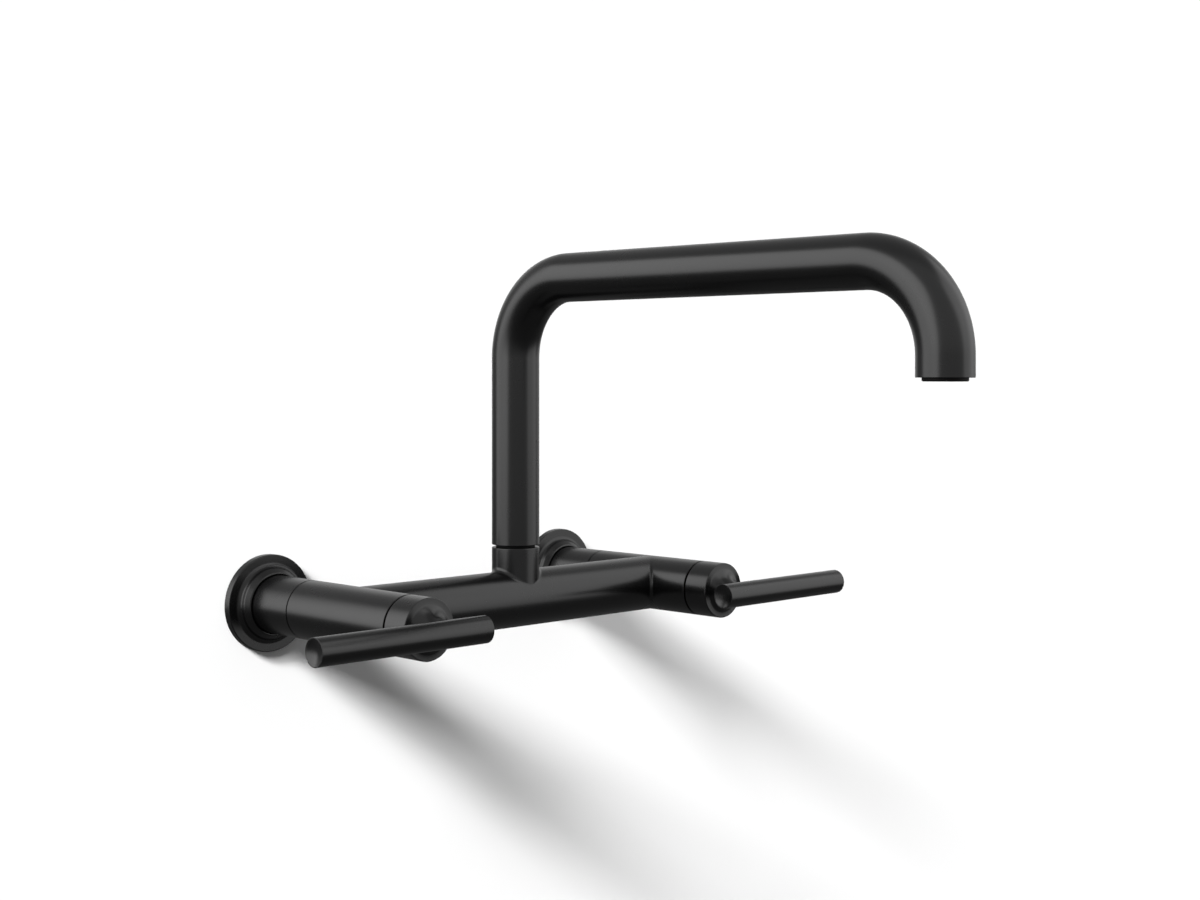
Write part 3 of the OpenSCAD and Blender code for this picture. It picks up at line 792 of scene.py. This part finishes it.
def direction(azimuth, elevation):
    """Unit vector towards a lamp. Azimuth is counted from the camera, positive to its right."""
    turn = math.atan2(CAMERA_PLACE[1], CAMERA_PLACE[0]) + math.radians(azimuth)
    lift = math.radians(elevation)
    level = math.cos(lift)
    return Vector((level * math.cos(turn), level * math.sin(turn), math.sin(lift)))


def feather(light, share):
    """Lets a lamp fade towards its four edges, over this share of its width and height."""
    light.use_nodes = True
    nodes, links = light.node_tree.nodes, light.node_tree.links
    face = nodes.new("ShaderNodeNewGeometry")
    place = nodes.new("ShaderNodeSeparateXYZ")
    links.new(face.outputs["Parametric"], place.inputs["Vector"])
    both = nodes.new("ShaderNodeMath")
    both.operation = "MULTIPLY"
    for i, axis in enumerate(("X", "Y")):
        far = nodes.new("ShaderNodeMath")
        far.operation = "SUBTRACT"
        far.inputs[0].default_value = 1
        links.new(place.outputs[axis], far.inputs[1])
        near = nodes.new("ShaderNodeMath")
        near.operation = "MINIMUM"
        links.new(place.outputs[axis], near.inputs[0])
        links.new(far.outputs["Value"], near.inputs[1])
        fade = nodes.new("ShaderNodeMapRange")
        fade.interpolation_type = "SMOOTHSTEP"
        fade.inputs["From Max"].default_value = share
        links.new(near.outputs["Value"], fade.inputs["Value"])
        links.new(fade.outputs["Result"], both.inputs[i])
    links.new(both.outputs["Value"], nodes["Emission"].inputs["Strength"])


SOFTBOX_TARGET = Vector((0, -0.15, 0.05))
SOFTBOX_REACH = 4.0
SOFTBOX_FADE = 0.15


def make_softbox(name, azimuth, elevation, width, height, radiance, unlit):
    """Soft lamp that fills a window of sky, given in degrees, as seen from the faucet."""
    light = bpy.data.lights.new(name, "AREA")
    light.shape = "RECTANGLE"
    full_width = 2 * SOFTBOX_REACH * math.tan(math.radians(width) / 2)
    light.size = full_width * math.cos(math.radians(elevation))
    light.size_y = 2 * SOFTBOX_REACH * math.tan(math.radians(height) / 2)
    light.energy = radiance * math.pi * light.size * light.size_y
    feather(light, SOFTBOX_FADE)
    lamp = bpy.data.objects.new(name, light)
    bpy.context.scene.collection.objects.link(lamp)
    lamp.location = SOFTBOX_TARGET + SOFTBOX_REACH * direction(azimuth, elevation)
    lamp.rotation_euler = (SOFTBOX_TARGET - lamp.location).to_track_quat("-Z", "Y").to_euler()
    lamp.visible_camera = False
    lamp.light_linking.receiver_collection = unlit


def make_wall_lamp(name, travel, spread, energy, lit, blockers):
    """Far lamp that lights only the wall and floor, and is stopped only by some pieces."""
    light = bpy.data.lights.new(name, "SUN")
    light.angle = math.radians(spread)
    light.energy = energy
    lamp = bpy.data.objects.new(name, light)
    bpy.context.scene.collection.objects.link(lamp)
    lamp.rotation_euler = Vector(travel).to_track_quat("-Z", "Y").to_euler()
    lamp.light_linking.receiver_collection = lit
    lamp.light_linking.blocker_collection = blockers


# Level of the studio below and above the horizon, and the half height of the step between them
GROUND_LEVEL = 0.11
SKY_LEVEL = 0.38
HORIZON = 0.1

# Softboxes: name, azimuth, elevation, width and height in degrees, and radiance
SOFTBOXES = (
    ("Left softbox", -75, 19, 84, 62, 2.08),
    ("Right softbox", 86, 22, 74, 82, 1.11),
    ("Back softbox", 167, 12, 101, 47, 0.36),
    ("Front softbox", 0, 30, 150, 96, 0.34),
)

# Far lamps on the wall: name, way of the light, spread in degrees, and energy
BOTH_ARM_LAMPS = (
    ("Grazing wall lamp", (3.53, 1, -2.1), 9.2, 3.59),
    ("Steep wall lamp", (1.64, 1, -1.155), 16.2, 3.59),
)
LEFT_ARM_LAMP = ("Left wall lamp", (2.6, 1, -1.93), 6.8, 3.29)


def make_world():
    """White to the camera. All other rays see a dim studio, lighter above the horizon."""
    world = bpy.data.worlds.new("Studio")
    bpy.context.scene.world = world
    world.use_nodes = True
    nodes, links = world.node_tree.nodes, world.node_tree.links
    air = nodes["Background"]
    air.inputs["Color"].default_value = (1, 1, 1, 1)
    place = nodes.new("ShaderNodeTexCoord")
    parts = nodes.new("ShaderNodeSeparateXYZ")
    links.new(place.outputs["Generated"], parts.inputs["Vector"])
    height = nodes.new("ShaderNodeMapRange")
    height.inputs["From Min"].default_value = -HORIZON
    height.inputs["From Max"].default_value = HORIZON
    height.inputs["To Min"].default_value = GROUND_LEVEL
    height.inputs["To Max"].default_value = SKY_LEVEL
    links.new(parts.outputs["Z"], height.inputs["Value"])
    path = nodes.new("ShaderNodeLightPath")
    level = nodes.new("ShaderNodeMapRange")
    level.inputs["To Max"].default_value = 1.0
    links.new(path.outputs["Is Camera Ray"], level.inputs["Value"])
    links.new(height.outputs["Result"], level.inputs["To Min"])
    links.new(level.outputs["Result"], air.inputs["Strength"])


def make_light(stage, arms):
    """Softboxes for the faucet, and far lamps for the wall that are stopped only by the arms."""
    unlit = collected("Stage without softboxes", stage, "EXCLUDE")
    for softbox in SOFTBOXES:
        make_softbox(*softbox, unlit)
    lit = collected("Stage", stage, "INCLUDE")
    left_arm = collected("Left arm", arms["left"], "INCLUDE")
    right_without_handle = arms["right"][: -len(HANDLE_MAKERS)]
    near_pieces = arms["left"] + right_without_handle
    near_arms = collected("Left arm and right arm without its handle", near_pieces, "INCLUDE")
    for lamp in BOTH_ARM_LAMPS:
        make_wall_lamp(*lamp, lit, near_arms)
    make_wall_lamp(*LEFT_ARM_LAMP, lit, left_arm)


BODY_MAKERS = (make_escutcheon, make_sleeve, make_valve_body)
HANDLE_MAKERS = (make_hub, make_lever)

dress_nodes()
arms = {side: [make(side) for make in BODY_MAKERS + HANDLE_MAKERS] for side in SIDES}
make_bridge()
make_socket()
make_spout()
make_aerator()
make_camera()
make_world()
make_light(make_stage(), arms)
bpy.context.scene.view_settings.view_transform = "Standard"
